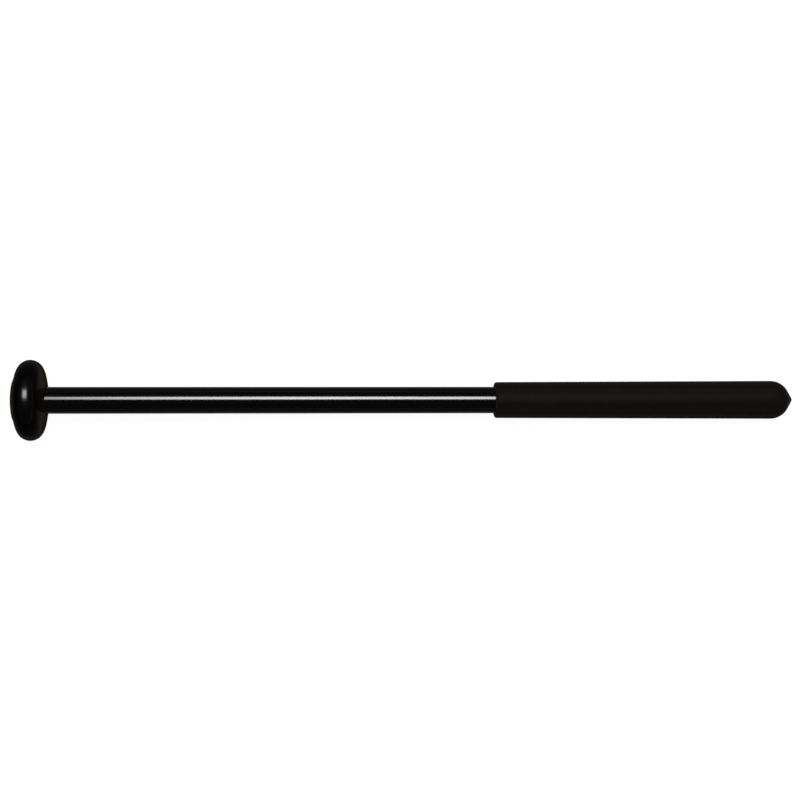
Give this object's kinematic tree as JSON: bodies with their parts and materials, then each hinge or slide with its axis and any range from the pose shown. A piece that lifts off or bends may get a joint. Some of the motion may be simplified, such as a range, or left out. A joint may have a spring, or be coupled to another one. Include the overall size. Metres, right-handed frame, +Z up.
{
  "type": "tenor drum mallet",
  "caption": "Tenor drum mallet: crowned black nylon disc head with a nose cap, screwed to a straight gloss black hollow shaft with a tapered, round-ended rubber grip.",
  "frame": {"origin": "on the mallet's axis, half way between the nose of the head and the butt of the grip, which is the centre of the bounding box", "axes": "+X runs along the shaft from the head to the grip's closed end; +Z is up with the mallet lying level; a flat facet of every turned piece faces -Z"},
  "size_m": [0.3726, 0.038, 0.038],
  "materials": {
    "disc_nylon": "moulded black nylon, soft gloss",
    "cap_nylon": "moulded black nylon, soft gloss",
    "screw_steel": "zinc plated",
    "washer_steel": "plain, satin",
    "insert_aluminium": "turned, bare",
    "shaft_black": "gloss black coat on drawn tube",
    "plug_plastic": "moulded black polythene",
    "grip_rubber": "moulded matte black rubber"
  },
  "bodies": {
    "root": {"head_disc": "disc_nylon", "head_cap": "cap_nylon", "head_screw": "screw_steel", "head_washer": "washer_steel", "shaft_insert": "insert_aluminium", "shaft_tube": "shaft_black", "butt_plug": "plug_plastic", "grip_sleeve": "grip_rubber"}
  },
  "joints": []
}
